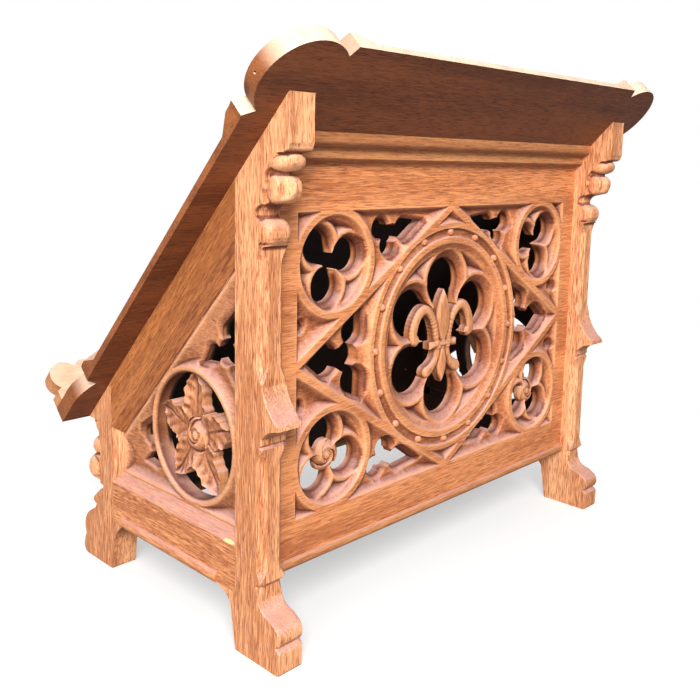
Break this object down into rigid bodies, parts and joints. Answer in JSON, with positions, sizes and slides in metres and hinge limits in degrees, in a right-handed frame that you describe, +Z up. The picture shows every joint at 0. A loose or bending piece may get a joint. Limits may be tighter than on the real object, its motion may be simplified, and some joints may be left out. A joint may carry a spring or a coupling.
{
  "type": "table lectern stand",
  "caption": "Carved oak table lectern with a sloping desk board, a book ledge, shaped posts, triangular side frames and pierced Gothic tracery panels.",
  "frame": {"origin": "on the table, under the middle of the bounding box", "axes": "+X across the lectern, +Y from the tall tracery face towards the reader, +Z up"},
  "size_m": [0.4928, 0.3283, 0.4383],
  "materials": {
    "board_oak": "waxed oak, grain across the desk, darker underneath",
    "post_oak": "waxed oak, upright grain",
    "rail_oak": "waxed oak, grain along the rail",
    "carved_oak": "waxed oak, carved and pierced, paler in the hollows",
    "ornament_oak": "waxed oak, carved",
    "moulding_oak": "waxed oak, moulded strip",
    "apron_oak": "dull oak board",
    "steel_pin": "dull steel",
    "brass_screw": "aged brass"
  },
  "bodies": {
    "root": {"desk_board": "board_oak", "book_ledge": "board_oak", "rear_post_left": "post_oak", "rear_post_right": "post_oak", "front_post_left": "post_oak", "front_post_right": "post_oak", "side_top_rail_left": "rail_oak", "side_top_rail_right": "rail_oak", "side_bottom_rail_left": "rail_oak", "side_bottom_rail_right": "rail_oak", "side_tracery_left": "carved_oak", "side_tracery_right": "carved_oak", "side_rose_left": "ornament_oak", "side_rose_right": "ornament_oak", "side_bead_left": "moulding_oak", "side_bead_right": "moulding_oak", "tall_tracery_panel": "carved_oak", "roundel_ornament": "ornament_oak", "bud_lower_left": "ornament_oak", "bud_lower_right": "ornament_oak", "cornice_mould": "moulding_oak", "panel_bead": "moulding_oak", "front_apron_board": "apron_oak", "desk_screws": "brass_screw", "ledge_screws": "brass_screw", "bead_pins": "steel_pin"}
  },
  "joints": []
}
